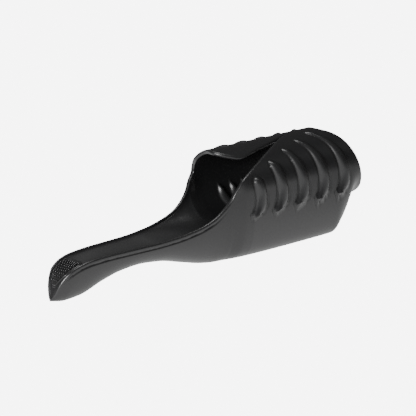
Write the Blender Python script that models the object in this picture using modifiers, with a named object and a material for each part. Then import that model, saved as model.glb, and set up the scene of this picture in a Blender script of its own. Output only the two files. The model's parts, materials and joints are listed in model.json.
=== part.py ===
"""Soft wrap sleeve with a fingertip tongue and two vibration motors.

Frame: +X from the tongue's tip to the sleeve's collar, +Z up, origin under the middle of the
object on the surface it stands on. Profile values are millimetres, and MM turns them into metres.
"""
import math

import bmesh
import bpy
import numpy as np
from mathutils import Vector

MM = 0.001
CLEARANCE = 0.3                 # gap between touching pieces
COLLECTION_NAME = "wrap_sleeve_massager"

# Silicone body: overall sizes
TIP_X = -116.0                  # bow point of the tongue
REAR_X = 116.0                  # lowest point of the collar's slanted rim
TUBE_R = 22.3                   # outside radius of the sleeve
BORE_R = 19.8                   # inside radius of the sleeve
TUBE_Z = 40.5                   # height of the sleeve's axis
SLIT_END = 63.0                 # station where the two flaps meet again
RIM_TOP_X = 87.5                # highest point of the slanted rim
CHANNEL_Z = TUBE_Z - BORE_R     # floor of the bore and of the tongue's channel
CHANNEL_DEPTH = 0.9             # least depth of the channel along the tongue
TONGUE_LIP = 1.7                # width of the rim beside the channel
KEEL_SINK = 0.3                 # how far the keel's curve is cut off by its flat sole

# Profiles along X as (x, value)
RIM_Z = [(-116, 2.8), (-115.1, 5.2), (-113.6, 9.6), (-111.5, 13.4), (-108, 16.8), (-102, 19.5),
         (-94, 20.9), (-80, 21.4), (-55, 21.3), (-38, 22.1), (-22, 24.5), (-13, 27.3),
         (-8.5, 29.8), (-2.5, 34.8), (-0.3, 37.6), (1.2, TUBE_Z)]
HALF_WIDTH = [(-116, 0.6), (-115.1, 2.6), (-113.6, 4.6), (-111.5, 6.2), (-108, 8), (-102, 9.3),
              (-94, 10.1), (-80, 11), (-55, 12.5), (-38, 14), (-22, 15.6), (-12, 16.7),
              (-4, 18), (3, 20.1), (8, 21.7), (14, TUBE_R)]
KEEL_Z = [(-116, 2.0), (-108, 0.6), (-99, 1.2), (-84, 6.0), (-72, 8.9), (-60, 9.9),
          (-44, 8.5), (-25, 3.8), (-12, 0.6), (-4, -KEEL_SINK), (88, -KEEL_SINK), (94, 1.5),
          (97.5, 4.2), (99.8, 8), (101, 11), (102.3, 14.3), (104.5, 17.0), (109, TUBE_Z - TUBE_R)]
SQUARENESS = [(-116, 2), (-60, 2.3), (-15, 2.6), (5, 3.4), (40, 4.6), (86, 5.4), (94, 3.4), (100, 2.5),
              (107, 2)]

# Edges of the opening: station, x of the edge, angle from the bottom in degrees
NEAR_EDGE = [(1.2, 1.2, 90), (3, 3, 97), (6, 6, 107.5), (10, 10, 114), (26, 26, 134),
             (44, 44, 155.5), (SLIT_END, 61, 178)]
FAR_EDGE = [(1.2, 1.2, 90), (5.5, 6, 110), (8.5, 4.2, 133), (12, 4.2, 153), (17, 1.2, 183),
            (21, 5, 200), (28, 14, 212), (38, 29, 203), (SLIT_END, 61, 182)]
RIM_SLANT = [(0, 0), (42, 0.11), (62, 0.22), (86, 0.36), (118, 0.55), (138, 0.67), (157, 0.82),
             (171, 0.95), (180, 0.98)]       # angle from the bottom, share of the rim's slant
BODY_SIDES = 33                 # points round one station of the body
EDGE_LEAN = 4                   # how late a station leans towards the edges

# Core: a hard capsule in the keel
CORE_X = (20.0, 95.0)
CORE_HALF_Y = 12.3
CORE_Z = (2.7, 17.3)
CORE_SPLIT_Z = 10.0
CORE_WALL = 1.2
SCREW_X = (24.0, 90.0)
SCREW_Y = 9.0
MOTOR_Z = 10.0

# Control panel on the keel's rear face
PANEL_X = (96.8, 99.0)
PANEL_Z = 10.6
PANEL_SKIRT = 0.6               # wall of the skirt that reaches back to the core
PANEL_HALF_Y = 12.3
PANEL_HALF_Z = 3.9
BUTTON_Y = 7.4
BUTTON_R = 2.6
BOARD_X = (92.8, 93.6)          # upright board behind the panel, which carries the switches
CONTACT_Y = 2.4
CONTACT_Z = 9.4
LENS_Z = 13.0

# Fingertip: motor capsule and nub pad
TIP_CAPSULE_X = (-96.5, -79.5)
TIP_CAPSULE_Z = 13.3
TIP_CAPSULE_R = 4.3
PAD_X = (-113.4, -95.5)
PAD_THICKNESS = 1.6
LEAD_R = 0.45
LEAD_CHANNEL_R = 1.5


# ---------------------------------------------------------------- scene and materials

def clear_scene():
    for obj in list(bpy.data.objects):
        bpy.data.objects.remove(obj, do_unlink=True)
    for name in (COLLECTION_NAME, "cutters"):
        old = bpy.data.collections.get(name)
        if old:
            bpy.data.collections.remove(old)


def new_collection(name):
    collection = bpy.data.collections.new(name)
    bpy.context.scene.collection.children.link(collection)
    return collection


def material(name, color, roughness, metallic=0.0):
    mat = bpy.data.materials.new(name)
    mat.use_nodes = True
    shader = mat.node_tree.nodes["Principled BSDF"]
    shader.inputs["Base Color"].default_value = (*color, 1.0)
    shader.inputs["Roughness"].default_value = roughness
    shader.inputs["Metallic"].default_value = metallic
    return mat


def add_object(name, data, collection, mat=None):
    obj = bpy.data.objects.new(name, data)
    collection.objects.link(obj)
    if mat:
        data.materials.append(mat)
    return obj


def hide_cutter(obj):
    obj.hide_render = True
    obj.display_type = "WIRE"


# ---------------------------------------------------------------- simple solids (millimetres)

def mesh_from_bmesh(name, bm, smooth_angle=None):
    mesh = bpy.data.meshes.new(name)
    bmesh.ops.recalc_face_normals(bm, faces=bm.faces)
    bm.to_mesh(mesh)
    bm.free()
    if smooth_angle is not None:
        mesh.shade_smooth()
        mesh.set_sharp_from_angle(angle=math.radians(smooth_angle))
    return mesh


def box(name, low, high, collection, mat=None, bevel=0.0, segments=2):
    """Box between two corners, with all its edges rounded."""
    size = [(b - a) * MM for a, b in zip(low, high)]
    bm = bmesh.new()
    bmesh.ops.create_cube(bm, size=1.0)
    bmesh.ops.scale(bm, vec=size, verts=bm.verts)
    if bevel:
        bmesh.ops.bevel(bm, geom=bm.edges[:], offset=bevel * MM, segments=segments,
                        profile=0.5, affect="EDGES")
    obj = add_object(name, mesh_from_bmesh(name, bm), collection, mat)
    obj.location = [(a + b) / 2 * MM for a, b in zip(low, high)]
    return obj


def rod(name, x_range, y, z, radius, collection, mat=None, sides=24, bevel=0.0):
    """Cylinder along X."""
    bm = bmesh.new()
    bmesh.ops.create_cone(bm, cap_ends=True, segments=sides, radius1=radius * MM,
                          radius2=radius * MM, depth=(x_range[1] - x_range[0]) * MM)
    if bevel:
        ends = [e for e in bm.edges if abs(e.verts[0].co.z - e.verts[1].co.z) < 1e-7]
        bmesh.ops.bevel(bm, geom=ends, offset=bevel * MM, segments=2, profile=0.5,
                        affect="EDGES")
    obj = add_object(name, mesh_from_bmesh(name, bm, 40), collection, mat)
    obj.rotation_euler = (0, math.pi / 2, 0)
    obj.location = (sum(x_range) / 2 * MM, y * MM, z * MM)
    return obj


def post(name, x, y, z_range, radius, collection, mat=None, sides=16):
    """Cylinder along Z."""
    obj = rod(name, z_range, 0, 0, radius, collection, mat, sides)
    obj.rotation_euler = (0, 0, 0)
    obj.location = (x * MM, y * MM, sum(z_range) / 2 * MM)
    return obj


def stadium_plate(name, x_range, z, half_y, half_z, collection, mat=None):
    """Plate facing +X with round ends: a box whose four edges along X are rounded."""
    bm = bmesh.new()
    bmesh.ops.create_cube(bm, size=1.0)
    size = ((x_range[1] - x_range[0]) * MM, 2 * half_y * MM, 2 * half_z * MM)
    bmesh.ops.scale(bm, vec=size, verts=bm.verts)
    along = [e for e in bm.edges if abs(e.verts[0].co.x - e.verts[1].co.x) > 1e-7]
    bmesh.ops.bevel(bm, geom=along, offset=half_z * 0.98 * MM, segments=7, profile=0.5,
                    affect="EDGES")
    obj = add_object(name, mesh_from_bmesh(name, bm, 40), collection, mat)
    obj.location = (sum(x_range) / 2 * MM, 0, z * MM)
    return obj


def boolean(target, other, operation="DIFFERENCE"):
    modifier = target.modifiers.new(operation.lower(), "BOOLEAN")
    modifier.operation = operation
    modifier.object = other
    modifier.solver = "EXACT"


# ---------------------------------------------------------------- the silicone body's surface

def profile(points):
    """Smooth curve through (x, value) points that never overshoots them."""
    xs, values = np.array(points, float).T
    rises = np.diff(values) / np.diff(xs)
    slopes = np.concatenate([rises[:1], np.zeros(len(rises) - 1), rises[-1:]])
    for i in range(1, len(rises)):
        before, after = rises[i - 1], rises[i]
        if before * after > 0:
            slopes[i] = 2 * before * after / (before + after)

    def value(x):
        x = np.clip(x, xs[0], xs[-1])
        i = np.clip(np.searchsorted(xs, x) - 1, 0, len(xs) - 2)
        width = xs[i + 1] - xs[i]
        t = (x - xs[i]) / width
        return ((1 + 2 * t) * (1 - t) ** 2 * values[i] + t ** 2 * (3 - 2 * t) * values[i + 1]
                + width * (t * (1 - t) ** 2 * slopes[i] - t ** 2 * (1 - t) * slopes[i + 1]))
    return value


rim_z = profile(RIM_Z)
half_width = profile(HALF_WIDTH)
keel_z = profile(KEEL_Z)
squareness = profile(SQUARENESS)
rim_slant = profile(RIM_SLANT)


def smoothstep(low, high, value):
    t = np.clip((value - low) / (high - low), 0, 1)
    return t * t * (3 - 2 * t)


def edge_curves(edge):
    return (profile([(v, x) for v, x, angle in edge]),
            profile([(v, angle) for v, x, angle in edge]))


near_x, near_angle = edge_curves(NEAR_EDGE)
far_x, far_angle = edge_curves(FAR_EDGE)


def station_line(v, sides):
    """Points (x, angle) of one station, from the near edge round the bottom to the far edge."""
    s = np.linspace(-1, 1, sides)
    reach = np.abs(s)
    near = s < 0
    if v < SLIT_END:
        edge_angle = np.where(near, near_angle(v), far_angle(v))
        edge_x = np.where(near, near_x(v), far_x(v))
        if v < NEAR_EDGE[0][0]:
            edge_angle = np.full(sides, 90.0)
            edge_x = np.full(sides, float(v))
        lean = reach ** EDGE_LEAN
    else:
        back = (v - SLIT_END) / (REAR_X - SLIT_END)
        edge_angle = np.where(near, 178.0, 182.0)
        edge_x = 61 + (RIM_TOP_X - 61) * back
        slant = rim_slant(180 * reach)
        lean = reach ** EDGE_LEAN * (1 - back) + slant * back
    x = v + (edge_x - v) * lean
    return x, np.radians(s * edge_angle)


def outer_point(x, angle):
    """Outside surface: a squarish keel under the axis, a round tube over it."""
    above = smoothstep(90, 125, np.abs(np.degrees(angle)))
    axis_z = rim_z(x) * (1 - above) + TUBE_Z * above
    width = half_width(x) * (1 - above) + TUBE_R * above
    depth = np.where(np.cos(angle) > 0, axis_z - keel_z(x), width)
    n = np.where(np.cos(angle) > 0, squareness(x), 2.0)
    side, drop = np.abs(np.sin(angle)), np.abs(np.cos(angle))
    r = (side ** n + drop ** n) ** (-1 / n)
    y = width * r * np.sin(angle)
    z = axis_z - depth * r * np.cos(angle)
    return np.stack([x, y, np.maximum(z, 0)], -1)


def inner_point(x, angle):
    """Inside surface: the round bore, which runs out as a shallow channel on the tongue."""
    above = smoothstep(90, 125, np.abs(np.degrees(angle)))
    axis_z = rim_z(x) * (1 - above) + TUBE_Z * above
    wall = TONGUE_LIP + (TUBE_R - BORE_R - TONGUE_LIP) * smoothstep(-20, 5, x)
    width = np.maximum(half_width(x) - wall, half_width(x) * 0.55)
    width = width * (1 - above) + BORE_R * above
    floor = np.minimum(CHANNEL_Z, rim_z(x) - CHANNEL_DEPTH)
    depth = np.where(np.cos(angle) > 0, axis_z - floor, width)
    y = width * np.sin(angle)
    z = axis_z - depth * np.cos(angle)
    return np.stack([x, y, z], -1)


def body_mesh(name, stations, sides):
    """Closed skin: outside and inside grids joined along the edges, the tip and the rear rim."""
    bm = bmesh.new()
    outer, inner = [], []
    for v in stations:
        x, angle = station_line(v, sides)
        ring = v >= SLIT_END
        rows = []
        for points in (outer_point(x, angle), inner_point(x, angle)):
            if ring:
                points[0] = points[-1] = (points[0] + points[-1]) / 2
                points = points[:-1]
            rows.append([bm.verts.new(p * MM) for p in points])
            if ring:
                rows[-1].append(rows[-1][0])
        outer.append(rows[0])
        inner.append(rows[1])
    for i in range(len(stations) - 1):
        for j in range(sides - 1):
            bm.faces.new((outer[i][j], outer[i][j + 1], outer[i + 1][j + 1], outer[i + 1][j]))
            bm.faces.new((inner[i][j], inner[i + 1][j], inner[i + 1][j + 1], inner[i][j + 1]))
        if stations[i] < SLIT_END:
            for j in (0, sides - 1):
                bm.faces.new((outer[i][j], inner[i][j], inner[i + 1][j], outer[i + 1][j]))
    for j in range(sides - 1):
        bm.faces.new((outer[-1][j], outer[-1][j + 1], inner[-1][j + 1], inner[-1][j]))
    bm.faces.new(outer[0] + inner[0][::-1])
    bmesh.ops.remove_doubles(bm, verts=bm.verts, dist=0.000001)
    bmesh.ops.triangulate(bm, faces=bm.faces)
    return mesh_from_bmesh(name, bm, 50)


def body_stations():
    """Closer together at the tip, round the flap's lobe and behind the keel."""
    tip = [TIP_X + 10 * (1 - math.cos(math.pi / 2 * i / 5)) for i in range(6)]
    return (tip + list(range(-99, -10, 8)) + [-7, -3, 0, 1.2, 3, 5.5, 7, 8.5, 10, 11.5, 13, 15, 17, 19, 21, 25, 30]
            + [38, 46, 54, SLIT_END, 71, 80, 89, 94, 97, 99.5, 101, 102, 103, 104.5, 107, 110]
            + [REAR_X])


# ---------------------------------------------------------------- nub pad

def pad_half_width(t):
    """Half width at t, from -1 at the pad's front end to 1 at its rear end."""
    x = (PAD_X[0] + PAD_X[1]) / 2 + (PAD_X[1] - PAD_X[0]) / 2 * t
    return 0.8 * half_width(x) * np.sqrt(np.maximum(1 - np.abs(t) ** 4, 0))


def pad_surface(x, y):
    """Point and outward normal of the fingertip's upper surface."""
    def height(x, y):
        width = half_width(x)
        return rim_z(x) - CHANNEL_DEPTH * (1 - (y / width) ** 2)
    step = 0.05
    slope_x = (height(x + step, y) - height(x - step, y)) / (2 * step)
    slope_y = (height(x, y + step) - height(x, y - step)) / (2 * step)
    normal = Vector((-slope_x, -slope_y, 1)).normalized()
    return Vector((x, y, height(x, y))), normal


def pad_mesh(name, grow, top, bottom, rows=12, columns=7):
    """Oval plate that follows the fingertip between two offsets along its normal."""
    bm = bmesh.new()
    layers = [[], []]
    for i in range(rows + 1):
        t = -math.cos(math.pi * i / rows) * 0.995
        middle, reach = sum(PAD_X) / 2, (PAD_X[1] - PAD_X[0]) / 2 + grow
        x = middle + reach * t
        half = pad_half_width(t) + grow
        for layer, offset in zip(layers, (top, bottom)):
            row = []
            for j in range(columns):
                y = half * (2 * j / (columns - 1) - 1)
                point, normal = pad_surface(max(x, TIP_X + 1), y)
                row.append(bm.verts.new((point + normal * offset) * MM))
            layer.append(row)
    for layer in layers:
        for i in range(rows):
            for j in range(columns - 1):
                bm.faces.new((layer[i][j], layer[i + 1][j], layer[i + 1][j + 1], layer[i][j + 1]))
    upper, lower = layers
    border = [(i, 0) for i in range(rows)] + [(rows, j) for j in range(columns - 1)]
    border += [(i, columns - 1) for i in range(rows, 0, -1)] + [(0, j) for j in range(columns - 1, 0, -1)]
    for (a, b), (c, d) in zip(border, border[1:] + border[:1]):
        bm.faces.new((upper[a][b], upper[c][d], lower[c][d], lower[a][b]))
    bmesh.ops.triangulate(bm, faces=bm.faces)
    return mesh_from_bmesh(name, bm, 50)


# ---------------------------------------------------------------- leads

def lead_route(side):
    """Route of one lead, from the circuit board through the tongue to the tip motor."""
    knots = [(57.0, 2.5 * side, 14.9), (51, 6.5 * side, 14.0), (42, 8.4 * side, 12.5),
             (33, 7.6 * side, 11.4), (28.6, 6.4 * side, 10.9), (25.4, 3.4 * side, 10.4),
             (22, 0.9 * side, 10.1),
             (10, 0.65 * side, 10.3), (-12, 0.65 * side, 12.6), (-40, 0.65 * side, 15.0),
             (-62, 0.65 * side, 15.2), (-74, 0.8 * side, 14.0), (-81.7, 1.1 * side, 13.3)]
    return smooth_route(knots, 5)


def smooth_route(knots, steps):
    """Points of the smooth curve through the knots."""
    knots = [Vector(k) for k in knots]
    padded = [knots[0] * 2 - knots[1]] + knots + [knots[-1] * 2 - knots[-2]]
    points = []
    for a, b, c, d in zip(padded, padded[1:], padded[2:], padded[3:]):
        for i in range(steps):
            t = i / steps
            points.append(0.5 * ((2 * b) + (c - a) * t + (2 * a - 5 * b + 4 * c - d) * t * t
                                 + (3 * b - a - 3 * c + d) * t ** 3))
    return points + [knots[-1]]


def wire(name, points, radius, collection, mat=None):
    curve = bpy.data.curves.new(name, "CURVE")
    curve.dimensions = "3D"
    curve.bevel_depth = radius * MM
    curve.bevel_resolution = 2
    curve.use_fill_caps = True
    spline = curve.splines.new("POLY")
    spline.points.add(len(points) - 1)
    for point, co in zip(spline.points, points):
        point.co = (*(co * MM), 1)
    return add_object(name, curve, collection, mat)


def mesh_from_curve(obj, collection):
    """The curve's solid as a mesh object, so that it can cut."""
    graph = bpy.context.evaluated_depsgraph_get()
    mesh = bpy.data.meshes.new_from_object(obj.evaluated_get(graph))
    bm = bmesh.new()
    bm.from_mesh(mesh)
    bmesh.ops.remove_doubles(bm, verts=bm.verts, dist=0.00001)
    bmesh.ops.recalc_face_normals(bm, faces=bm.faces)
    bm.to_mesh(mesh)
    bm.free()
    solid = add_object(obj.name + "_solid", mesh, collection)
    solid.matrix_world = obj.matrix_world.copy()
    bpy.data.objects.remove(obj, do_unlink=True)
    return solid


# ---------------------------------------------------------------- sub-parts

def make_body(parts, cutters, mat):
    """One moulded skin, hollowed for the core, the leads and the tip capsule."""
    body = add_object("silicone_body", body_mesh("silicone_body", body_stations(), BODY_SIDES), parts, mat)
    gap = CLEARANCE
    hollows = [
        box("core_hollow", (CORE_X[0] - gap, -CORE_HALF_Y - gap, CORE_Z[0] - gap),
            (CORE_X[1] + gap, CORE_HALF_Y + gap, CORE_Z[1] + gap), cutters, bevel=2.6 + gap),
        rod("tip_hollow", (TIP_CAPSULE_X[0] - gap, TIP_CAPSULE_X[1] + gap), 0, TIP_CAPSULE_Z,
            TIP_CAPSULE_R + gap, cutters),
        stadium_plate("panel_hollow", (CORE_X[1] - 1, PANEL_X[1] + 8), PANEL_Z,
                      PANEL_HALF_Y + 1.5, PANEL_HALF_Z + 1.2, cutters),
        add_object("pad_seat", pad_mesh("pad_seat", gap, 6, -PAD_THICKNESS - gap), cutters),
    ]
    middle = [Vector(p) for p in ((24, 0, 10.1), (10, 0, 10.3), (-12, 0, 12.6), (-40, 0, 15.0),
                                  (-62, 0, 15.2), (-74, 0, 14.0), (-82, 0, 13.3))]
    channel = wire("lead_channel", smooth_route(middle, 5), LEAD_CHANNEL_R, cutters)
    hollows.append(mesh_from_curve(channel, cutters))
    for hollow in hollows:
        hide_cutter(hollow)
        boolean(body, hollow)
    return body


def make_core(parts, cutters, mat, screw_mat):
    """Tray and lid of the hard capsule, joined by four screws in posts."""
    x0, x1 = CORE_X
    split = CLEARANCE / 2
    halves = {"core_tray": (CORE_Z[0], CORE_SPLIT_Z - split), "core_lid": (CORE_SPLIT_Z + split, CORE_Z[1])}
    inside = box("core_inside", (x0 + CORE_WALL, -CORE_HALF_Y + CORE_WALL, CORE_Z[0] + CORE_WALL),
                 (x1 + 8, CORE_HALF_Y - CORE_WALL, CORE_Z[1] - CORE_WALL), cutters, bevel=1.4)
    lead_hole = rod("lead_hole", (x0 - 3, x0 + 5), 0, 10.1, LEAD_CHANNEL_R, cutters, sides=16)
    for name, (low, high) in halves.items():
        shell = box(name, (x0, -CORE_HALF_Y, CORE_Z[0]), (x1, CORE_HALF_Y, CORE_Z[1]),
                    parts, mat, bevel=2.6)
        slab = box(name + "_half", (x0 - 5, -20, low), (x1 + 5, 20, high), cutters)
        boolean(shell, inside)
        for i, x in enumerate(SCREW_X):
            for side in (-1, 1):
                pillar = post(f"{name}_post_{i}_{side}", x, side * SCREW_Y,
                              (CORE_Z[0] + 0.6, CORE_Z[1] - 0.6), 1.9, cutters)
                hide_cutter(pillar)
                boolean(shell, pillar, "UNION")
        boolean(shell, slab, "INTERSECT")
        boolean(shell, lead_hole)
        hide_cutter(slab)
        for i, x in enumerate(SCREW_X):
            for side in (-1, 1):
                hole = post(f"{name}_hole_{i}_{side}", x, side * SCREW_Y, (5.5, 20), 0.95, cutters)
                sink = post(f"{name}_sink_{i}_{side}", x, side * SCREW_Y, (15.4, 20), 1.6, cutters)
                for cutter in (hole, sink):
                    hide_cutter(cutter)
                    boolean(shell, cutter)
    hide_cutter(inside)
    hide_cutter(lead_hole)
    make_screws(parts, screw_mat)


def make_screws(parts, mat):
    """Pan-head screws, each a turned profile."""
    outline = [(0, 17.0), (1.3, 17.0), (1.3, 15.8), (0.65, 15.8), (0.65, 6.5), (0, 6.0)]
    count = 0
    for x in SCREW_X:
        for side in (-1, 1):
            count += 1
            screw = turned(f"core_screw_{count}", outline, x, 0, parts, mat, steps=14)
            screw.rotation_euler = (0, 0, 0)
            screw.location = (x * MM, side * SCREW_Y * MM, 0)


def half_weight(name, x_range, z, radius, shaft_r, parts, cutters, mat):
    """Eccentric weight: half a disc hanging under its shaft, on a full hub."""
    weight = rod(name, x_range, 0, z, radius, parts, mat)
    above = box(name + "_above", (x_range[0] - 1, -radius - 1, z + shaft_r + 0.9),
                (x_range[1] + 1, radius + 1, z + radius + 2), cutters)
    bore = rod(name + "_bore", (x_range[0] - 1, x_range[1] + 1), 0, z, shaft_r + 0.05, cutters, sides=16)
    for cutter in (above, bore):
        hide_cutter(cutter)
        boolean(weight, cutter)
    return weight


def make_main_motor(parts, cutters, mats):
    rod("main_motor_can", (34, 56), 0, MOTOR_Z, 5.0, parts, mats["steel"], 32, bevel=0.5)
    rod("main_motor_shaft", (27.6, 33.7), 0, MOTOR_Z, 0.75, parts, mats["shaft"], 12)
    half_weight("main_motor_weight", (28.4, 33.0), MOTOR_Z, 4.5, 0.75, parts, cutters, mats["weight"])
    cradle = box("main_motor_cradle", (37, -7, 4.2), (53, 7, 9.2), parts, mats["soft_black"], bevel=0.8)
    saddle = rod("cradle_saddle", (36, 54), 0, MOTOR_Z, 5.3, cutters, sides=32)
    hide_cutter(saddle)
    boolean(cradle, saddle)


def make_power(parts, mats):
    """Battery on its foam pad, and the circuit board over it."""
    box("battery_pad", (59, -9, 4.2), (86, 9, 4.9), parts, mats["foam"], bevel=0.2, segments=1)
    box("battery_cell", (58.5, -9.3, 5.2), (86.5, 9.3, 11.4), parts, mats["foil"], bevel=1.2)
    box("board_foam", (62, -7, 11.7), (84, 7, 12.5), parts, mats["foam"], bevel=0.2, segments=1)
    box("circuit_board", (58, -9.8, 12.8), (87.5, 9.8, 13.6), parts, mats["board"])
    box("controller_chip", (70, -3, 13.9), (76, 3, 15.0), parts, mats["chip"], bevel=0.15, segments=1)
    box("lead_socket", (59, -4.2, 13.9), (62.5, 4.2, 15.7), parts, mats["ivory"], bevel=0.2, segments=1)


def make_panel(parts, cutters, mats):
    """Rear control panel: seal, plate, two buttons, charging contacts and status lens."""
    seal = stadium_plate("panel_seal", (PANEL_X[0] + 0.1, PANEL_X[1] - 0.5), PANEL_Z,
                         PANEL_HALF_Y + 1.2, PANEL_HALF_Z + 0.9, parts, mats["soft_black"])
    seal_hole = stadium_plate("seal_hole", (PANEL_X[0] - 1, PANEL_X[1] + 1), PANEL_Z,
                              PANEL_HALF_Y + 0.3, PANEL_HALF_Z + 0.3, cutters)
    hide_cutter(seal_hole)
    boolean(seal, seal_hole)
    plate = stadium_plate("control_panel", (CORE_X[1] + CLEARANCE, PANEL_X[1]), PANEL_Z,
                          PANEL_HALF_Y, PANEL_HALF_Z, parts, mats["panel"])
    pocket = stadium_plate("panel_pocket", (CORE_X[1] - 1, PANEL_X[0]), PANEL_Z,
                           PANEL_HALF_Y - PANEL_SKIRT, PANEL_HALF_Z - PANEL_SKIRT, cutters)
    hide_cutter(pocket)
    boolean(plate, pocket)
    through = (PANEL_X[0] - 1, PANEL_X[1] + 1)
    holes = [rod(f"button_hole_{side}", through, side * BUTTON_Y, PANEL_Z, BUTTON_R + 0.3, cutters)
             for side in (-1, 1)]
    holes += [rod(f"contact_hole_{side}", through, side * CONTACT_Y, CONTACT_Z, 1.3, cutters, sides=16)
              for side in (-1, 1)]
    holes.append(rod("lens_hole", through, 0, LENS_Z, 0.9, cutters, sides=16))
    for hole in holes:
        hide_cutter(hole)
        boolean(plate, hole)
    for name, side in (("power_button", -1), ("mode_button", 1)):
        make_button(name, side, parts, cutters, mats["button"])
    for name, side in (("power_switch", -1), ("mode_switch", 1)):
        make_switch(name, side, parts, cutters, mats["chip"])
    for number, side in ((1, -1), (2, 1)):
        rod(f"charge_contact_{number}", (BOARD_X[1] + 0.3, PANEL_X[1] + 0.2), side * CONTACT_Y, CONTACT_Z, 1.0,
            parts, mats["contact"], 16)
    rod("status_lens", (BOARD_X[1] + 1.3, PANEL_X[1] + 0.1), 0, LENS_Z, 0.6, parts, mats["lens"], 16)
    box("switch_board", (BOARD_X[0], -10.5, 6.2), (BOARD_X[1], 10.5, 14.8), parts, mats["board"])


def make_button(name, side, parts, cutters, mat):
    """Round button with a flange that holds it behind the panel."""
    button = rod(name, (PANEL_X[0] - 1.1, PANEL_X[1] + 1.2), side * BUTTON_Y, PANEL_Z, BUTTON_R, parts, mat, 24,
                 bevel=0.35)
    flange = rod(name + "_flange", (PANEL_X[0] - 1.1, PANEL_X[0] - CLEARANCE), side * BUTTON_Y, PANEL_Z,
                 BUTTON_R + 0.5, cutters)
    hide_cutter(flange)
    boolean(button, flange, "UNION")


def make_switch(name, side, parts, cutters, mat):
    x, y = BOARD_X[1] + CLEARANCE, side * BUTTON_Y
    switch = box(name, (x, y - 2, PANEL_Z - 2), (x + 0.7, y + 2, PANEL_Z + 2), parts, mat,
                 bevel=0.15, segments=1)
    plunger = rod(name + "_plunger", (x + 0.5, x + 1.0), y, PANEL_Z, 0.9, cutters, sides=16)
    hide_cutter(plunger)
    boolean(switch, plunger, "UNION")


def turned(name, outline, x, z, parts, mat, steps=24):
    """Turned piece on an axis along X; the outline is (radius, distance along the axis)."""
    mesh = bpy.data.meshes.new(name)
    points = [(r * MM, 0, d * MM) for r, d in outline]
    mesh.from_pydata(points, [(i, i + 1) for i in range(len(points) - 1)], [])
    obj = add_object(name, mesh, parts, mat)
    screw = obj.modifiers.new("turn", "SCREW")
    screw.steps = screw.render_steps = steps
    screw.use_merge_vertices = True
    screw.merge_threshold = 0.00001
    obj.rotation_euler = (0, math.pi / 2, 0)
    obj.location = (x * MM, 0, z * MM)
    return obj


def make_tip(parts, cutters, mats):
    """Tip capsule with its motor, and the nub pad over it."""
    x0, x1 = TIP_CAPSULE_X
    length = x1 - x0
    r = TIP_CAPSULE_R
    cup = [(0, 0.7), (r - 0.7, 0.7), (r - 0.7, length - 1.8), (r, length - 1.8), (r, 0.5),
           (r - 0.5, 0), (0, 0)]
    turned("tip_capsule_cup", cup, x0, TIP_CAPSULE_Z, parts, mats["abs"])
    cap = [(2.0, length), (r, length), (r, length - 1.5), (r - 1.0, length - 1.5),
           (r - 1.0, length - 2.2), (2.0, length - 2.2), (2.0, length)]
    turned("tip_capsule_cap", cap, x0, TIP_CAPSULE_Z, parts, mats["abs"])
    rod("tip_motor_can", (-90.0, -82.1), 0, TIP_CAPSULE_Z, 3.2, parts, mats["steel"], 24, bevel=0.4)
    rod("tip_motor_shaft", (-95.2, -90.3), 0, TIP_CAPSULE_Z, 0.5, parts, mats["shaft"], 12)
    half_weight("tip_motor_weight", (-94.8, -91.0), TIP_CAPSULE_Z, 3.0, 0.5, parts, cutters,
                mats["weight"])
    add_object("nub_pad", pad_mesh("nub_pad", 0, 0.2, -PAD_THICKNESS), parts, mats["nubs"])


def make_materials():
    return {
        "silicone": material("black_silicone", (0.012, 0.012, 0.013), 0.42),
        "nubs": material("black_gloss_silicone", (0.008, 0.008, 0.009), 0.22),
        "abs": material("black_abs", (0.02, 0.02, 0.022), 0.45),
        "panel": material("satin_panel", (0.03, 0.03, 0.033), 0.35),
        "button": material("button_black", (0.05, 0.05, 0.055), 0.3),
        "soft_black": material("soft_rubber", (0.03, 0.03, 0.03), 0.7),
        "steel": material("motor_steel", (0.62, 0.62, 0.63), 0.3, 1.0),
        "shaft": material("shaft_steel", (0.7, 0.7, 0.71), 0.2, 1.0),
        "weight": material("tungsten_grey", (0.35, 0.35, 0.36), 0.35, 1.0),
        "screw": material("screw_steel", (0.45, 0.45, 0.46), 0.35, 1.0),
        "foil": material("cell_foil", (0.6, 0.62, 0.65), 0.35, 0.6),
        "foam": material("foam", (0.08, 0.08, 0.08), 0.95),
        "board": material("board_green", (0.02, 0.13, 0.06), 0.45),
        "chip": material("chip_black", (0.015, 0.015, 0.015), 0.4),
        "ivory": material("socket_ivory", (0.75, 0.72, 0.62), 0.45),
        "contact": material("gold_contact", (0.85, 0.63, 0.27), 0.22, 1.0),
        "lens": material("lens_white", (0.85, 0.85, 0.85), 0.2),
        "red": material("lead_red", (0.5, 0.02, 0.02), 0.4),
        "black": material("lead_black", (0.02, 0.02, 0.02), 0.4),
    }


def main():
    clear_scene()
    parts = new_collection(COLLECTION_NAME)
    cutters = new_collection("cutters")
    mats = make_materials()
    make_body(parts, cutters, mats["silicone"])
    make_core(parts, cutters, mats["abs"], mats["screw"])
    make_main_motor(parts, cutters, mats)
    make_power(parts, mats)
    make_panel(parts, cutters, mats)
    make_tip(parts, cutters, mats)
    wire("tip_lead_red", lead_route(1), LEAD_R, parts, mats["red"])
    wire("tip_lead_black", lead_route(-1), LEAD_R, parts, mats["black"])


main()
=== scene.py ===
"""Looks of the wrap sleeve massager: fine silicone skin, nub pad, rear panel and studio."""
import json
import math

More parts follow.
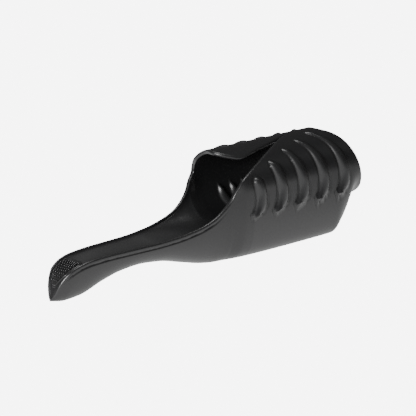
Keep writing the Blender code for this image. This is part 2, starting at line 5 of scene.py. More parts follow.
import bmesh
import bpy
import numpy as np
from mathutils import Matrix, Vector


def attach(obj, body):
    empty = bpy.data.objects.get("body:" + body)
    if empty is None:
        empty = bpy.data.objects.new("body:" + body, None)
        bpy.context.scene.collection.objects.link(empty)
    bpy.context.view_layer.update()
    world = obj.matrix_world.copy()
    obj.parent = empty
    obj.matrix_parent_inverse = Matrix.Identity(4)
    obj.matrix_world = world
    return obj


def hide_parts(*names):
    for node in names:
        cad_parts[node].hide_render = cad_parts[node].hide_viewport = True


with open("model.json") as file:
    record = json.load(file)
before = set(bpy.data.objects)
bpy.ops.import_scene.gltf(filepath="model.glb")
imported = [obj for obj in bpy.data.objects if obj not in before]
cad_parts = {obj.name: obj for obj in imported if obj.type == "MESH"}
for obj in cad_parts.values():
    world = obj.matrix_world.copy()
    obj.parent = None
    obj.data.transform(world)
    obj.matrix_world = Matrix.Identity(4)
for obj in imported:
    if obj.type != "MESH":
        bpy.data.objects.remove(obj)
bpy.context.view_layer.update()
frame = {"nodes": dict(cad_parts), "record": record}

MM = 0.001

# The silicone body's driving sizes and profiles, as in the CAD part (millimetres)
TIP_X = -116.0
REAR_X = 116.0
TUBE_R = 22.3
BORE_R = 19.8
TUBE_Z = 40.5
SLIT_END = 63.0
RIM_TOP_X = 87.5
CHANNEL_Z = TUBE_Z - BORE_R
CHANNEL_DEPTH = 0.9
TONGUE_LIP = 1.7
KEEL_SINK = 0.3
EDGE_LEAN = 4
RIM_Z = [(-116, 2.8), (-115.1, 5.2), (-113.6, 9.6), (-111.5, 13.4), (-108, 16.8), (-102, 19.5),
         (-94, 20.9), (-80, 21.4), (-55, 21.3), (-38, 22.1), (-22, 24.5), (-13, 27.3),
         (-8.5, 29.8), (-2.5, 34.8), (-0.3, 37.6), (1.2, TUBE_Z)]
HALF_WIDTH = [(-116, 0.6), (-115.1, 2.6), (-113.6, 4.6), (-111.5, 6.2), (-108, 8), (-102, 9.3),
              (-94, 10.1), (-80, 11), (-55, 12.5), (-38, 14), (-22, 15.6), (-12, 16.7),
              (-4, 18), (3, 20.1), (8, 21.7), (14, TUBE_R)]
KEEL_Z = [(-116, 2.0), (-108, 0.6), (-99, 1.2), (-84, 6.0), (-72, 8.9), (-60, 9.9),
          (-44, 8.5), (-25, 3.8), (-12, 0.6), (-4, -KEEL_SINK), (88, -KEEL_SINK), (94, 1.5),
          (97.5, 4.2), (99.8, 8), (101, 11), (102.3, 14.3), (104.5, 17.0), (109, TUBE_Z - TUBE_R)]
SQUARENESS = [(-116, 2), (-60, 2.3), (-15, 2.6), (5, 3.4), (40, 4.6), (86, 5.4), (94, 3.4), (100, 2.5),
              (107, 2)]
NEAR_EDGE = [(1.2, 1.2, 90), (3, 3, 97), (6, 6, 107.5), (10, 10, 114), (26, 26, 134),
             (44, 44, 155.5), (SLIT_END, 61, 178)]
FAR_EDGE = [(1.2, 1.2, 90), (5.5, 6, 110), (8.5, 4.2, 133), (12, 4.2, 153), (17, 1.2, 183),
            (21, 5, 200), (28, 14, 212), (38, 29, 203), (SLIT_END, 61, 182)]
RIM_SLANT = [(0, 0), (42, 0.11), (62, 0.22), (86, 0.36), (118, 0.55), (138, 0.67), (157, 0.82),
             (171, 0.95), (180, 0.98)]       # angle from the bottom, share of the rim's slant

# Grip ribs: forward and rear outline as (height, offset from the rib's own x)
RIB_X = (11.0, 28.9, 46.9, 64.8, 83.1)
RIB_BOTTOM = 24.8
RIB_TOPS_NEAR = (48.8, 56.2, 62.0, 67.0, 72.0)
RIB_TOPS_FAR = (77.0, 76.0, 75.0, 74.0, 73.0)
RIB_FRONT = [(24.8, -0.2), (26.5, 0.0), (30, 2.4), (33, 3.4), (38, 4.2), (44, 3.0), (50, 1.4),
             (56, -0.2), (61, -2.2), (66, -5.0), (72, -9.0)]
RIB_REAR = [(24.8, 5.2), (26, 5.8), (28.4, 10.2), (32.5, 13.3), (38, 12.9), (42, 11.5),
            (47, 9.8), (52, 7.6), (56, 5.4), (61, 2.4), (66, -1.6), (72, -6.4)]
RIB_HEIGHT = 2.3
RIB_PLUMP = 2.2
RIB_CREASE = 0.25
CREASE_WIDTH = 0.2              # as a share of the rib's half width
RIB_TOP_R = 4.0
RIB_CREST = 0.45                # place of a rib's crest, from its crisp front to its soft rear
KNOB_R = 3.0                    # radius of a rib's round lower end
RIB_FADE = 0.65                 # how much of a rib's height is gone over the top

# Soft ridges inside the bore
RIDGE_COUNT = 7
RIDGE_X = 26                    # middle of the first ridge at its point
RIDGE_PITCH = 9.8
RIDGE_TOP = 37.5                # height of the ridges' points
RIDGE_FOOT = (20.5, 24)         # heights between which a ridge rises from the bore's floor
RIDGE_LEAN = 0.27               # how far a ridge leans back, per millimetre below its point
RIDGE_HALF = 3.9
RIDGE_TAPER = 9                 # length over which a ridge narrows to its point
RIDGE_HEIGHT = 2.3

# Fine lines along the tongue's edge: depth, distance from the edge, width
OUTER_GROOVE = (0.42, 1.7, 0.42)
INNER_CREASE = (0.3, 0.55, 0.35)

# Mesh of the skin
BODY_STEP = 0.5                 # spacing of the stations along the sleeve
BODY_SIDES = 141                # points round one station
LIP_STEPS = 5                   # points across a rounded edge

# Nub pad on the fingertip, and the control panel's socket (low and high corner)
PAD_X = (-113.4, -97.0)
PAD_LIFT = 0.25
PAD_DEPTH = 1.2
PAD_BEAD = 0.4
PAD_SHARE = 0.76                # pad's share of the fingertip's width
NUB_R = 0.5
NUB_PITCH = 1.52
NUB_HEIGHT = 1.5
NUB_END_X = -100.6
POCKET = ((94.2, -13.7, 5.6), (112, 13.7, 15.6))

# Studio and camera (metres, degrees, and millimetres for the lens)
FLOOR_GREY = 0.3                # how much light the floor sends back
FLOOR_GLOW = 1.12               # light that the floor gives the object
GLOW_FALLOFF = (0.1, 0.4, FLOOR_GLOW, 0.1)      # near and far radius, glow at each
ROOM_LIGHT = 0.06               # light that the room gives the object
FLOOR_WHITE = 7                 # how bright the floor and room look to the camera
CAMERA_AZIMUTH = -45
CAMERA_ELEVATION = 15
CAMERA_DISTANCE = 0.844
CAMERA_TARGET = (-0.001, 0, 0.030)
CAMERA_LENS = 129.8


# ---------------------------------------------------------------- profiles and surface

def profile(points):
    """Smooth curve through (x, value) points that never overshoots them."""
    xs, values = np.array(points, float).T
    rises = np.diff(values) / np.diff(xs)
    slopes = np.concatenate([rises[:1], np.zeros(len(rises) - 1), rises[-1:]])
    for i in range(1, len(rises)):
        before, after = rises[i - 1], rises[i]
        if before * after > 0:
            slopes[i] = 2 * before * after / (before + after)

    def value(x):
        x = np.clip(x, xs[0], xs[-1])
        i = np.clip(np.searchsorted(xs, x) - 1, 0, len(xs) - 2)
        width = xs[i + 1] - xs[i]
        t = (x - xs[i]) / width
        return ((1 + 2 * t) * (1 - t) ** 2 * values[i] + t ** 2 * (3 - 2 * t) * values[i + 1]
                + width * (t * (1 - t) ** 2 * slopes[i] - t ** 2 * (1 - t) * slopes[i + 1]))
    return value


rim_z = profile(RIM_Z)
half_width = profile(HALF_WIDTH)
keel_z = profile(KEEL_Z)
squareness = profile(SQUARENESS)
rim_slant = profile(RIM_SLANT)
rib_front = profile(RIB_FRONT)
rib_rear = profile(RIB_REAR)


def smoothstep(low, high, value):
    t = np.clip((value - low) / (high - low), 0, 1)
    return t * t * (3 - 2 * t)


def edge_curves(edge):
    return (profile([(v, x) for v, x, angle in edge]),
            profile([(v, angle) for v, x, angle in edge]))


near_x, near_angle = edge_curves(NEAR_EDGE)
far_x, far_angle = edge_curves(FAR_EDGE)


def station_line(v, sides):
    """Points (x, angle) of one station, closer together towards the two edges."""
    u = np.linspace(-1, 1, sides)
    s = 0.75 * u + 0.25 * np.sin(math.pi / 2 * u)
    reach = np.abs(s)
    near = s < 0
    if v < SLIT_END:
        edge_angle = np.where(near, near_angle(v), far_angle(v))
        edge_x = np.where(near, near_x(v), far_x(v))
        if v < NEAR_EDGE[0][0]:
            edge_angle = np.full(sides, 90.0)
            edge_x = np.full(sides, float(v))
        lean = reach ** EDGE_LEAN
    else:
        back = (v - SLIT_END) / (REAR_X - SLIT_END)
        edge_angle = np.where(near, 178 + 2 * smoothstep(0, 0.1, back), 182 - 2 * smoothstep(0, 0.1, back))
        edge_x = 61 + (RIM_TOP_X - 61) * back
        slant = rim_slant(180 * reach)
        lean = reach ** EDGE_LEAN * (1 - back) + slant * back
    x = v + (edge_x - v) * lean
    return x, np.radians(s * edge_angle)


def outer_point(x, angle):
    """Outside surface: a squarish keel under the axis, a round tube over it."""
    above = smoothstep(90, 125, np.abs(np.degrees(angle)))
    axis_z = rim_z(x) * (1 - above) + TUBE_Z * above
    width = half_width(x) * (1 - above) + TUBE_R * above
    depth = np.where(np.cos(angle) > 0, axis_z - keel_z(x), width)
    n = np.where(np.cos(angle) > 0, squareness(x), 2.0)
    side, drop = np.abs(np.sin(angle)), np.abs(np.cos(angle))
    r = (side ** n + drop ** n) ** (-1 / n)
    y = width * r * np.sin(angle)
    z = axis_z - depth * r * np.cos(angle)
    return np.stack([x, y, np.maximum(z, 0)], -1)


def inner_point(x, angle):
    """Inside surface: the round bore, which runs out as a shallow channel on the tongue."""
    above = smoothstep(90, 125, np.abs(np.degrees(angle)))
    axis_z = rim_z(x) * (1 - above) + TUBE_Z * above
    wall = TONGUE_LIP + (TUBE_R - BORE_R - TONGUE_LIP) * smoothstep(-20, 5, x)
    width = np.maximum(half_width(x) - wall, half_width(x) * 0.55)
    width = width * (1 - above) + BORE_R * above
    floor = np.minimum(CHANNEL_Z, rim_z(x) - CHANNEL_DEPTH)
    depth = np.where(np.cos(angle) > 0, axis_z - floor, width)
    y = width * np.sin(angle)
    z = axis_z - depth * np.cos(angle)
    return np.stack([x, y, z], -1)


def girth_height(points, angle):
    """Height on the flank, then the length of arc past the tube's widest line."""
    over = np.degrees(np.abs(angle)) > 90
    arc = TUBE_Z + TUBE_R * (np.abs(angle) - math.pi / 2)
    return np.where(over, arc, points[..., 2])


def rib_relief(points, angle):
    """Height of the grip ribs over the outside surface, with a fine crease round each."""
    x, h = points[..., 0], girth_height(points, angle)
    relief, crease = np.zeros_like(x), np.zeros_like(x)
    for side, tops in ((-1, RIB_TOPS_NEAR), (1, RIB_TOPS_FAR)):
        on_side = np.sin(angle / 2) * side > 0
        for rib_x, top, near_top in zip(RIB_X, tops, RIB_TOPS_NEAR):
            scaled = np.where(h > 33, 33 + (h - 33) * (near_top - 33) / (top - 33), h)
            front = rib_x + rib_front(scaled)
            rear = rib_x + rib_rear(scaled)
            u = (x - front) / np.maximum(rear - front, 0.5)
            across = np.where(u < RIB_CREST, 1 - u / RIB_CREST, (u - RIB_CREST) / (1 - RIB_CREST))
            low = np.clip((RIB_BOTTOM + KNOB_R - h) / KNOB_R, 0, 3)
            high = np.clip((scaled - near_top + RIB_TOP_R) / RIB_TOP_R, 0, 3)
            q = np.sqrt(across ** 2 + low ** 2 + high ** 2)
            fade = 1 - RIB_FADE * smoothstep(46, 66, h)
            bump = np.clip(1 - np.minimum(q, 1) ** RIB_PLUMP, 0, 1) * fade * on_side
            relief = np.maximum(relief, bump)
            crease = np.maximum(crease, np.exp(-((q - 1.12) / CREASE_WIDTH) ** 2) * fade * on_side)
    return RIB_HEIGHT * relief - RIB_CREASE * crease


def inner_relief(points, angle):
    """Height of the soft ridges inside the bore, pointed at the top."""
    x, z = points[..., 0], points[..., 2]
    relief = np.zeros_like(x)
    for i in range(RIDGE_COUNT):
        middle = RIDGE_X + RIDGE_PITCH * i + (RIDGE_TOP - z) * RIDGE_LEAN
        half = RIDGE_HALF * np.clip((RIDGE_TOP - z) / RIDGE_TAPER, 0, 1)
        bump = np.clip(1 - np.abs((x - middle) / (half + 0.01)) ** 1.6, 0, 1)
        bump = bump * smoothstep(0, 5, RIDGE_TOP - z)
        relief = np.maximum(relief, bump * smoothstep(*RIDGE_FOOT, z) * (z < RIDGE_TOP))
    return RIDGE_HEIGHT * relief


def surface_normals(grid):
    """Unit normals of a grid of points, pointing away from the body's outside."""
    along = np.gradient(grid, axis=0)
    across = np.gradient(grid, axis=1)
    normal = np.cross(across, along)
    return normal / np.maximum(np.linalg.norm(normal, axis=-1, keepdims=True), 1e-9)


def fine_line(distance, line):
    """Relief of a shallow line that runs along an edge."""
    depth, place, width = line
    return -depth * np.exp(-((distance - place) / width) ** 2)


def distance_from_edges(grid):
    """Length along each station from the nearer of its two edges."""
    steps = np.linalg.norm(np.diff(grid, axis=1), axis=-1)
    run = np.concatenate([np.zeros((len(grid), 1)), np.cumsum(steps, axis=1)], axis=1)
    return np.minimum(run, run[:, -1:] - run)


def body_stations():
    tip = [TIP_X + 10 * (1 - math.cos(math.pi / 2 * i / 14)) for i in range(14)]
    tongue = list(np.arange(-106, -14, 1.3))
    sleeve = list(np.arange(-14, SLIT_END - 0.1, BODY_STEP))
    closed = list(np.linspace(SLIT_END, REAR_X, 125))
    return tip + tongue + sleeve + closed


def add_mesh(name, verts, faces):
    mesh = bpy.data.meshes.new(name)
    mesh.from_pydata([tuple(v) for v in verts], [], faces)
    mesh.validate()
    obj = bpy.data.objects.new(name, mesh)
    bpy.context.scene.collection.objects.link(obj)
    mesh.shade_smooth()
    return obj


def rounded_edge(outside, inside, outward, reach, steps=LIP_STEPS):
    """Points of a round edge that joins the outside surface to the inside one."""
    centre = (outside + inside) / 2
    half = (outside - inside) / 2
    rows = []
    for i in range(1, steps + 1):
        turn = math.pi * i / (steps + 1)
        rows.append(centre + half * math.cos(turn) + outward * reach * math.sin(turn))
    return rows


def unit(vectors):
    return vectors / np.maximum(np.linalg.norm(vectors, axis=-1, keepdims=True), 1e-9)


def make_skin():
    """The moulded silicone skin, with ribs, bore ridges, rounded edges and the tongue's bead."""
    stations = body_stations()
    sides = BODY_SIDES
    lines = [station_line(v, sides) for v in stations]
    x = np.array([line[0] for line in lines])
    angle = np.array([line[1] for line in lines])
    outer, inner = outer_point(x, angle), inner_point(x, angle)
    outer_normal = surface_normals(outer)
    if np.mean(outer_normal[:, sides // 2, 2]) > 0:
        outer_normal = -outer_normal
    relief = rib_relief(outer, angle)
    from_edge = distance_from_edges(outer)
    on_tongue = (1 - smoothstep(-16, 0, x)) * smoothstep(-113, -108, x)
    groove = fine_line(from_edge, OUTER_GROOVE) * on_tongue
    outer = outer + outer_normal * (relief + groove)[..., None]
    inner_normal = surface_normals(inner)
    if np.mean(inner_normal[:, sides // 2, 2]) < 0:
        inner_normal = -inner_normal
    from_lip = distance_from_edges(inner)
    crease = fine_line(from_lip, INNER_CREASE) * on_tongue
    inner = inner + inner_normal * (inner_relief(inner, angle) + crease)[..., None]

    outer = outer * MM
    inner = inner * MM
    verts, faces = [], []

    def put(points):
        start = len(verts)
        verts.extend(points)
        return list(range(start, start + len(points)))

    outer_ids, inner_ids, near_ids, far_ids = [], [], [], []
    gap = np.linalg.norm(outer[:, 0] - outer[:, -1], axis=-1)
    for i, v in enumerate(stations):
        ring = v >= SLIT_END
        o, n = outer[i].copy(), inner[i].copy()
        if ring:
            o[0] = o[-1] = (o[0] + o[-1]) / 2
            n[0] = n[-1] = (n[0] + n[-1]) / 2
            ids_o, ids_n = put(o[:-1]), put(n[:-1])
            outer_ids.append(ids_o + ids_o[:1])
            inner_ids.append(ids_n + ids_n[:1])
        else:
            outer_ids.append(put(o))
            inner_ids.append(put(n))
        edges = []
        for edge, inward in ((0, 1), (-1, -2)):
            out = unit(unit(o[edge] - o[inward]) + unit(n[edge] - n[inward]))
            reach = min(np.linalg.norm(o[edge] - n[edge]) / 2, 0.42 * gap[i]) if not ring else 0.0
            edges.append(rounded_edge(o[edge], n[edge], out, reach))
        if ring and (i == 0 or stations[i - 1] < SLIT_END):
            shared = put(edges[0])
            near_ids.append(shared)
            far_ids.append(shared)
        elif not ring:
            near_ids.append(put(edges[0]))
            far_ids.append(put(edges[1]))
    for i in range(len(stations) - 1):
        a, b, c, d = outer_ids[i], outer_ids[i + 1], inner_ids[i], inner_ids[i + 1]
        for j in range(sides - 1):
            faces.append((a[j], a[j + 1], b[j + 1], b[j]))
            faces.append((c[j], d[j], d[j + 1], c[j + 1]))
        if stations[i] < SLIT_END:
            for ids, j, flip in ((near_ids, 0, False), (far_ids, -1, True)):
                first = [a[j]] + ids[i] + [c[j]]
                second = [b[j]] + ids[i + 1] + [d[j]]
                for k in range(len(first) - 1):
                    quad = (first[k], second[k], second[k + 1], first[k + 1])
                    faces.append(quad if not flip else quad[::-1])
    rim_out = unit(unit(outer[-1] - outer[-3]) + unit(inner[-1] - inner[-3]))
    rim_reach = np.linalg.norm(outer[-1] - inner[-1], axis=-1, keepdims=True) / 2
    rim_rows = rounded_edge(outer[-1], inner[-1], rim_out * rim_reach, 1.0)
    rows = [outer_ids[-1]]
    for row in rim_rows:
        row[0] = row[-1] = (row[0] + row[-1]) / 2
        ids = put(row[:-1])
        rows.append(ids + ids[:1])
    rows.append(inner_ids[-1])
    for first, second in zip(rows, rows[1:]):
        for j in range(sides - 1):
            faces.append((first[j], first[j + 1], second[j + 1], second[j]))
    faces.append(tuple(outer_ids[0][::-1] + near_ids[0] + inner_ids[0] + far_ids[0][::-1])[::-1])
    skin = add_mesh("silicone_skin", verts, faces)
    bm = bmesh.new()
    bm.from_mesh(skin.data)
    bmesh.ops.remove_doubles(bm, verts=bm.verts, dist=0.000002)
    bmesh.ops.recalc_face_normals(bm, faces=bm.faces)
    bm.to_mesh(skin.data)
    bm.free()
    return skin


def cut_panel_pocket(skin):
    """Sinks the control panel's socket into the keel's rear face."""
    bm = bmesh.new()
    bmesh.ops.create_cube(bm, size=1.0)
    low, high = POCKET
    bmesh.ops.scale(bm, vec=[(b - a) * MM for a, b in zip(low, high)], verts=bm.verts)
    along = [e for e in bm.edges if abs(e.verts[0].co.x - e.verts[1].co.x) > 1e-7]
    bmesh.ops.bevel(bm, geom=along, offset=(high[2] - low[2]) / 2 * 0.98 * MM, segments=14,
                    profile=0.5, affect="EDGES")
    mesh = bpy.data.meshes.new("pocket")
    bm.to_mesh(mesh)
    bm.free()
    cutter = bpy.data.objects.new("pocket", mesh)
    bpy.context.scene.collection.objects.link(cutter)
    cutter.location = [(a + b) / 2 * MM for a, b in zip(low, high)]
    cut = skin.modifiers.new("pocket", "BOOLEAN")
    cut.operation, cut.solver, cut.object = "DIFFERENCE", "EXACT", cutter
    bpy.context.view_layer.update()
    graph = bpy.context.evaluated_depsgraph_get()
    result = bpy.data.meshes.new_from_object(skin.evaluated_get(graph))
    skin.modifiers.clear()
    skin.data = result
    skin.data.shade_smooth()
    skin.data.set_sharp_from_angle(angle=math.radians(50))
    bpy.data.objects.remove(cutter, do_unlink=True)


# ---------------------------------------------------------------- nub pad

def pad_half(t):
    """Half width at t, from -1 at the pad's front end to 1 at its rear end."""
    x = sum(PAD_X) / 2 + (PAD_X[1] - PAD_X[0]) / 2 * t
    return PAD_SHARE * half_width(x) * np.sqrt(np.maximum(1 - np.abs(t) ** 4, 0))


def pad_height(x, y):
    return rim_z(x) - CHANNEL_DEPTH * (1 - (y / half_width(x)) ** 2)


def pad_frame(x, y):
    """Point of the pad's seat and its outward normal."""
    step = 0.05
    slope_x = (pad_height(x + step, y) - pad_height(x - step, y)) / (2 * step)
    slope_y = (pad_height(x, y + step) - pad_height(x, y - step)) / (2 * step)
    normal = np.array([-slope_x, -slope_y, 1.0])
    return np.array([x, y, float(pad_height(x, y))]), normal / np.linalg.norm(normal)


def add_nub(verts, faces, x, y, height):
    """One soft nub: a tapered post with a round top."""
    point, normal = pad_frame(x, y)
    side = np.cross(normal, (0.0, 1.0, 0.0))
    side /= np.linalg.norm(side)
    other = np.cross(normal, side)
    sides = 10
    outline = [(1.25, -0.5), (1.0, 0.15), (0.92, 0.62), (0.78, 0.84), (0.45, 0.97)]
    start = len(verts)
    for spread, rise in outline:
        for k in range(sides):
            turn = 2 * math.pi * k / sides
            ring = (side * math.cos(turn) + other * math.sin(turn)) * spread * NUB_R
            verts.append((point + normal * (PAD_LIFT + rise * height) + ring) * MM)
    verts.append((point + normal * (PAD_LIFT + height)) * MM)
    for r in range(len(outline) - 1):
        for k in range(sides):
            a, b = start + r * sides + k, start + r * sides + (k + 1) % sides
            faces.append((a, b, b + sides, a + sides))
    last, top = start + (len(outline) - 1) * sides, len(verts) - 1
    for k in range(sides):
        faces.append((last + k, last + (k + 1) % sides, top))
    faces.append(tuple(start + k for k in reversed(range(sides))))


def make_nub_pad(gloss, pad_painted_shade):
    """Oval pad with a smooth raised border and staggered rows of nubs; the pad's floor between the nubs
    takes a near-black copy of the silicone as painted shade in the gaps.
    """
    rows, columns = 44, 25
    verts, faces = [], []
    for i in range(rows + 1):
        t = -math.cos(math.pi * i / rows) * 0.998
        x = sum(PAD_X) / 2 + (PAD_X[1] - PAD_X[0]) / 2 * t
        half = pad_half(t)
        for j in range(columns):
            s = math.sin(math.pi / 2 * (2 * j / (columns - 1) - 1))
            point, normal = pad_frame(x, half * s)
            from_border = min((1 - abs(s)) * half, (1 - abs(t)) * (PAD_X[1] - PAD_X[0]) / 2 * 1.3)
            bead = PAD_BEAD * math.exp(-((from_border - 0.75) / 0.5) ** 2)
            edge = -0.9 * (1 - smoothstep(0, 0.45, from_border))
            verts.append((point + normal * (PAD_LIFT + bead + edge)) * MM)
    for i in range(rows):
        for j in range(columns - 1):
            a = i * columns + j
            faces.append((a, a + columns, a + columns + 1, a + 1))
    count = len(verts)
    for k in range(count):
        verts.append(verts[k] - np.array([0, 0, PAD_DEPTH * MM]))
    faces += [tuple(k + count for k in reversed(face)) for face in list(faces)]
    border = [i * columns for i in range(rows)] + [rows * columns + j for j in range(columns - 1)]
    border += [i * columns + columns - 1 for i in range(rows, 0, -1)] + list(range(columns - 1, 0, -1))
    for a, b in zip(border, border[1:] + border[:1]):
        faces.append((a, a + count, b + count, b))
    row, x = 0, PAD_X[0] + 1.6
    while x < NUB_END_X:
        t = (x - sum(PAD_X) / 2) / ((PAD_X[1] - PAD_X[0]) / 2)
        reach = float(pad_half(t)) - 1.5
        y = -reach + (NUB_PITCH / 2 if row % 2 else 0.0)
        pitch = 2 * reach / max(round(2 * reach / NUB_PITCH), 1)
        while y <= reach + 0.01:
            add_nub(verts, faces, x, y, NUB_HEIGHT)
            y += pitch
        x += NUB_PITCH * 0.9
        row += 1
    pad = add_mesh("nub_pad_fine", verts, faces)
    pad.data.materials.append(gloss)
    pad.data.materials.append(pad_painted_shade)
    # Inner faces of the pad's floor take the near-black second material: painted shade in the gaps between
    # the nubs.
    for face in pad.data.polygons[:rows * (columns - 1)]:
        i, j = divmod(face.index, columns - 1)
        if 4 < i < rows - 7 and 2 < j < columns - 4:
            face.material_index = 1
    bm = bmesh.new()
    bm.from_mesh(pad.data)
    bmesh.ops.recalc_face_normals(bm, faces=bm.faces)
    bm.to_mesh(pad.data)
    bm.free()
    return pad


# ---------------------------------------------------------------- studio

def look_at(obj, target):
    direction = Vector(target) - obj.location
    obj.rotation_euler = direction.to_track_quat("-Z", "Y").to_euler()


def make_camera():
    azimuth, elevation = math.radians(CAMERA_AZIMUTH), math.radians(CAMERA_ELEVATION)
    target = Vector(CAMERA_TARGET)
    back = Vector((math.sin(azimuth) * math.cos(elevation),
                   -math.cos(azimuth) * math.cos(elevation), math.sin(elevation)))
    data = bpy.data.cameras.new("camera")
    data.sensor_width = 36
    data.lens = CAMERA_LENS
    data.clip_start = 0.01
    camera = bpy.data.objects.new("camera", data)
    bpy.context.scene.collection.objects.link(camera)
    camera.location = target + back * CAMERA_DISTANCE
    look_at(camera, target)
    bpy.context.scene.camera = camera


def area_light(name, location, target, size, power):
    data = bpy.data.lights.new(name, "AREA")
    data.shape = "RECTANGLE"
    data.size, data.size_y = size
    data.energy = power
    lamp = bpy.data.objects.new(name, data)
    lamp.location = location
    bpy.context.scene.collection.objects.link(lamp)
    look_at(lamp, target)


def floor_material():
    """White that glows softly on the object and reads as a clean white ground."""
    mat = bpy.data.materials.new("floor_white")
    mat.use_nodes = True
    tree = mat.node_tree
    shader = tree.nodes["Principled BSDF"]
    shader.inputs["Base Color"].default_value = (FLOOR_GREY, FLOOR_GREY, FLOOR_GREY, 1)
    shader.inputs["Roughness"].default_value = 0.9
    shader.inputs["Specular IOR Level"].default_value = 0.0
    shader.inputs["Emission Color"].default_value = (1, 1, 1, 1)
    coords = tree.nodes.new("ShaderNodeTexCoord")
    distance = tree.nodes.new("ShaderNodeVectorMath")
    distance.operation = "LENGTH"
    falloff = tree.nodes.new("ShaderNodeMapRange")
    falloff.interpolation_type = "SMOOTHSTEP"
    for name, value in zip(("From Min", "From Max", "To Min", "To Max"), GLOW_FALLOFF):
        falloff.inputs[name].default_value = value
    tree.links.new(coords.outputs["Object"], distance.inputs[0])
    tree.links.new(distance.outputs["Value"], falloff.inputs["Value"])
    tree.links.new(falloff.outputs["Result"], shader.inputs["Emission Strength"])
    seen = tree.nodes.new("ShaderNodeEmission")
    seen.inputs["Strength"].default_value = FLOOR_WHITE
    path = tree.nodes.new("ShaderNodeLightPath")
    mix = tree.nodes.new("ShaderNodeMixShader")
    tree.links.new(path.outputs["Is Camera Ray"], mix.inputs["Fac"])
    tree.links.new(shader.outputs["BSDF"], mix.inputs[1])
    tree.links.new(seen.outputs["Emission"], mix.inputs[2])
    tree.links.new(mix.outputs["Shader"], tree.nodes["Material Output"].inputs["Surface"])
    return mat


def make_studio():
    """White floor, a dark room above it and soft boxes for the lights on top."""
    bpy.ops.mesh.primitive_plane_add(size=12, location=(0, 0, -0.0003))
    floor = bpy.context.object
    floor.name = "floor"
    floor.data.materials.append(floor_material())
    world = bpy.data.worlds.new("studio")
    world.use_nodes = True
    tree = world.node_tree
    path = tree.nodes.new("ShaderNodeLightPath")
    strength = tree.nodes.new("ShaderNodeMapRange")
    strength.inputs["To Min"].default_value = ROOM_LIGHT
    strength.inputs["To Max"].default_value = FLOOR_WHITE
    tree.links.new(path.outputs["Is Camera Ray"], strength.inputs["Value"])
    tree.nodes["Background"].inputs["Color"].default_value = (1, 1, 1, 1)
    tree.links.new(strength.outputs["Result"], tree.nodes["Background"].inputs["Strength"])
    bpy.context.scene.world = world
    centre = (0, 0, 0.04)
    area_light("rear_softbox", (0.55, -0.35, 0.42), (0.06, 0, 0.04), (0.35, 0.25), 0.05)
    area_light("back_softbox", (0.25, 0.75, 0.45), centre, (0.7, 0.25), 0.2)
    area_light("top_softbox", (0.0, 0.0, 1.0), centre, (0.5, 0.5), 7)
    area_light("left_softbox", (-0.7, -0.25, 0.22), (0.02, 0.01, 0.035), (0.3, 0.2), 10)


def noise_bump(tree, shader, scale, strength, distance):
    """Fine relief and a little roughness variation from one noise."""
    coords = tree.nodes.new("ShaderNodeTexCoord")
    noise = tree.nodes.new("ShaderNodeTexNoise")
    noise.inputs["Scale"].default_value = scale
    noise.inputs["Detail"].default_value = 4
    bump = tree.nodes.new("ShaderNodeBump")
    bump.inputs["Strength"].default_value = strength
    bump.inputs["Distance"].default_value = distance
    tree.links.new(coords.outputs["Object"], noise.inputs["Vector"])
    tree.links.new(noise.outputs["Fac"], bump.inputs["Height"])
    tree.links.new(bump.outputs["Normal"], shader.inputs["Normal"])
    return noise


def material(name, color, roughness, metallic=0.0, scale=900, strength=0.15, distance=0.0001,
             spread=0.06):
    mat = bpy.data.materials.new(name)
    mat.use_nodes = True
    tree = mat.node_tree
    shader = tree.nodes["Principled BSDF"]
    shader.inputs["Base Color"].default_value = (*color, 1)
    shader.inputs["Metallic"].default_value = metallic
    noise = noise_bump(tree, shader, scale, strength, distance)
    ramp = tree.nodes.new("ShaderNodeMapRange")
    ramp.inputs["To Min"].default_value = roughness - spread
    ramp.inputs["To Max"].default_value = roughness + spread
    tree.links.new(noise.outputs["Fac"], ramp.inputs["Value"])
    tree.links.new(ramp.outputs["Result"], shader.inputs["Roughness"])
    return mat


def set_material(obj, mat):
    obj.data.materials.clear()
    obj.data.materials.append(mat)


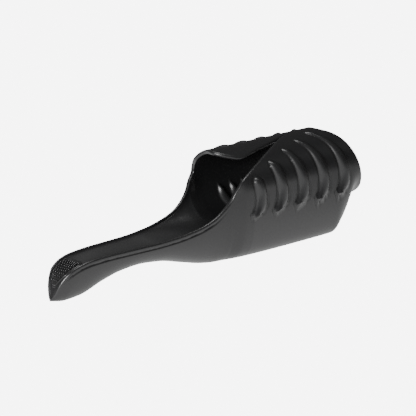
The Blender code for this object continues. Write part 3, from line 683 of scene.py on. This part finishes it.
# Looks of the material slots: colour, roughness, metallic, grain scale, grain depth in metres
LOOKS = {
    "black_abs": ((0.02, 0.02, 0.022), 0.45, 0, 1500, 0.00004),
    "panel_plastic": ((0.02, 0.02, 0.021), 0.32, 0, 2500, 0.00003),
    "button_plastic": ((0.035, 0.035, 0.038), 0.3, 0, 2500, 0.00002),
    "soft_rubber": ((0.02, 0.02, 0.02), 0.68, 0, 1200, 0.00006),
    "motor_steel": ((0.62, 0.62, 0.63), 0.3, 1, 900, 0.00003),
    "shaft_steel": ((0.7, 0.7, 0.71), 0.2, 1, 3000, 0.00001),
    "weight_metal": ((0.35, 0.35, 0.36), 0.36, 1, 1800, 0.00004),
    "screw_steel": ((0.45, 0.45, 0.46), 0.34, 1, 2500, 0.00002),
    "cell_foil": ((0.6, 0.62, 0.65), 0.34, 0.6, 500, 0.00008),
    "foam": ((0.07, 0.07, 0.07), 0.92, 0, 1800, 0.0002),
    "board": ((0.02, 0.13, 0.06), 0.42, 0, 1500, 0.00003),
    "chip": ((0.015, 0.015, 0.015), 0.42, 0, 3000, 0.00002),
    "socket": ((0.75, 0.72, 0.62), 0.45, 0, 1500, 0.00002),
    "contact": ((0.85, 0.63, 0.27), 0.22, 1, 3000, 0.00001),
    "lens": ((0.8, 0.8, 0.82), 0.18, 0, 1500, 0.00001),
    "lead_red": ((0.45, 0.015, 0.015), 0.4, 0, 2000, 0.00002),
    "lead_black": ((0.02, 0.02, 0.02), 0.4, 0, 2000, 0.00002),
}


def dress_cad_nodes():
    """Gives every CAD node that stays visible the look of its material slot."""
    mats = {slot: material(slot + "_fine", color, roughness, metallic, scale, 0.3, depth)
            for slot, (color, roughness, metallic, scale, depth) in LOOKS.items()}
    for part in frame["record"]["subparts"]:
        if part["material_slot"] in mats:
            node = frame["nodes"][part["node"]]
            for material_slot in node.material_slots:
                material_slot.material = mats[part["material_slot"]]


make_camera()
make_studio()
silicone = material("satin_silicone", (0.011, 0.011, 0.0115), 0.34)
gloss = material("gloss_silicone", (0.012, 0.012, 0.0125), 0.26)
# Near-black, rough copy of the silicone for the pad's floor: painted shade between the nubs.
pad_painted_shade = material("pad_painted_shade_silicone", (0.002, 0.002, 0.002), 0.75)
skin = make_skin()
cut_panel_pocket(skin)
set_material(skin, silicone)
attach(skin, "sleeve")
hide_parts("silicone_body")

nub_pad = make_nub_pad(gloss, pad_painted_shade)
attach(nub_pad, "sleeve")
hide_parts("nub_pad")
dress_cad_nodes()
